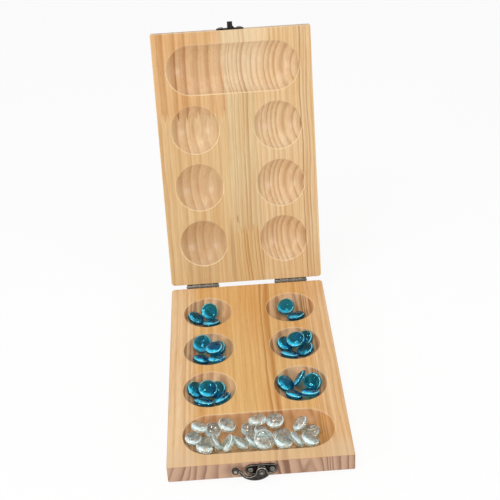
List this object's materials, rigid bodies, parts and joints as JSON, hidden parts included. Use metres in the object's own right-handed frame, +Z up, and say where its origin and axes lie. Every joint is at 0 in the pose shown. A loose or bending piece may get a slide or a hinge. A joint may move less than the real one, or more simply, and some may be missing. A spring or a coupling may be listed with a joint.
{
  "type": "mancala board",
  "caption": "Folding pine board with round pits and a long store in each half, two hinges, a swing hook clasp, and glass stones in the open base half",
  "frame": {"origin": "centre of the base half's flat underside", "axes": "+Z up, -Y the clasp end of the base, +Y the hinge end, X across the board"},
  "size_m": [0.132, 0.2987, 0.2313],
  "materials": {
    "pine": "satin",
    "antique_bronze": "satin",
    "blue_glass": "gloss",
    "clear_glass": "gloss"
  },
  "bodies": {
    "base": {"base_board": "pine", "left_hinge_base_leaf": "antique_bronze", "left_hinge_pin": "antique_bronze", "left_hinge_base_screw_outer": "antique_bronze", "left_hinge_base_screw_inner": "antique_bronze", "right_hinge_base_leaf": "antique_bronze", "right_hinge_pin": "antique_bronze", "right_hinge_base_screw_outer": "antique_bronze", "right_hinge_base_screw_inner": "antique_bronze", "clasp_plate": "antique_bronze", "clasp_rivet": "antique_bronze", "clasp_screw_left": "antique_bronze", "clasp_screw_right": "antique_bronze"},
    "lid": {"lid_board": "pine", "left_hinge_lid_leaf": "antique_bronze", "left_hinge_lid_screw_outer": "antique_bronze", "left_hinge_lid_screw_inner": "antique_bronze", "right_hinge_lid_leaf": "antique_bronze", "right_hinge_lid_screw_outer": "antique_bronze", "right_hinge_lid_screw_inner": "antique_bronze", "strike_plate": "antique_bronze", "strike_screw_left": "antique_bronze", "strike_screw_right": "antique_bronze"},
    "hook": {"clasp_hook": "antique_bronze"},
    "stones_rear_left": {"blue_stone_rear_left_1": "blue_glass", "blue_stone_rear_left_2": "blue_glass", "blue_stone_rear_left_3": "blue_glass"},
    "stones_rear_right": {"blue_stone_rear_right_1": "blue_glass", "blue_stone_rear_right_2": "blue_glass"},
    "stones_middle_left": {"blue_stone_middle_left_1": "blue_glass", "blue_stone_middle_left_2": "blue_glass", "blue_stone_middle_left_3": "blue_glass", "blue_stone_middle_left_4": "blue_glass", "blue_stone_middle_left_5": "blue_glass"},
    "stones_middle_right": {"blue_stone_middle_right_1": "blue_glass", "blue_stone_middle_right_2": "blue_glass", "blue_stone_middle_right_3": "blue_glass", "blue_stone_middle_right_4": "blue_glass", "blue_stone_middle_right_5": "blue_glass"},
    "stones_front_left": {"blue_stone_front_left_1": "blue_glass", "blue_stone_front_left_2": "blue_glass", "blue_stone_front_left_3": "blue_glass", "blue_stone_front_left_4": "blue_glass", "blue_stone_front_left_5": "blue_glass"},
    "stones_front_right": {"blue_stone_front_right_1": "blue_glass", "blue_stone_front_right_2": "blue_glass", "blue_stone_front_right_3": "blue_glass", "blue_stone_front_right_4": "blue_glass", "blue_stone_front_right_5": "blue_glass"},
    "stones_store": {"clear_stone_pair_01": "clear_glass", "clear_stone_pair_02": "clear_glass", "clear_stone_pair_03": "clear_glass", "clear_stone_pair_04": "clear_glass", "clear_stone_pair_05": "clear_glass", "clear_stone_pair_06": "clear_glass", "clear_stone_pair_07": "clear_glass", "clear_stone_pair_08": "clear_glass", "clear_stone_pair_09": "clear_glass", "clear_stone_pair_10": "clear_glass", "clear_stone_11": "clear_glass"}
  },
  "joints": [
    {"name": "lid_hinge", "type": "hinge", "parent": "base", "child": "lid", "pos_m": [0, 0.1108, 0.0145], "axis": [-1, 0, 0], "range_deg": [-105.7, 74.1]},
    {"name": "hook_pivot", "type": "hinge", "parent": "base", "child": "hook", "pos_m": [0, -0.10865, 0.0083], "axis": [0, 1, 0], "range_deg": [0, 90]},
    {"name": "lift_rear_left", "type": "slide", "parent": "base", "child": "stones_rear_left", "axis": [0, 0, 1], "range_m": [0, 0.06]},
    {"name": "lift_rear_right", "type": "slide", "parent": "base", "child": "stones_rear_right", "axis": [0, 0, 1], "range_m": [0, 0.06]},
    {"name": "lift_middle_left", "type": "slide", "parent": "base", "child": "stones_middle_left", "axis": [0, 0, 1], "range_m": [0, 0.06]},
    {"name": "lift_middle_right", "type": "slide", "parent": "base", "child": "stones_middle_right", "axis": [0, 0, 1], "range_m": [0, 0.06]},
    {"name": "lift_front_left", "type": "slide", "parent": "base", "child": "stones_front_left", "axis": [0, 0, 1], "range_m": [0, 0.06]},
    {"name": "lift_front_right", "type": "slide", "parent": "base", "child": "stones_front_right", "axis": [0, 0, 1], "range_m": [0, 0.06]},
    {"name": "lift_store", "type": "slide", "parent": "base", "child": "stones_store", "axis": [0, 0, 1], "range_m": [0, 0.06]}
  ]
}
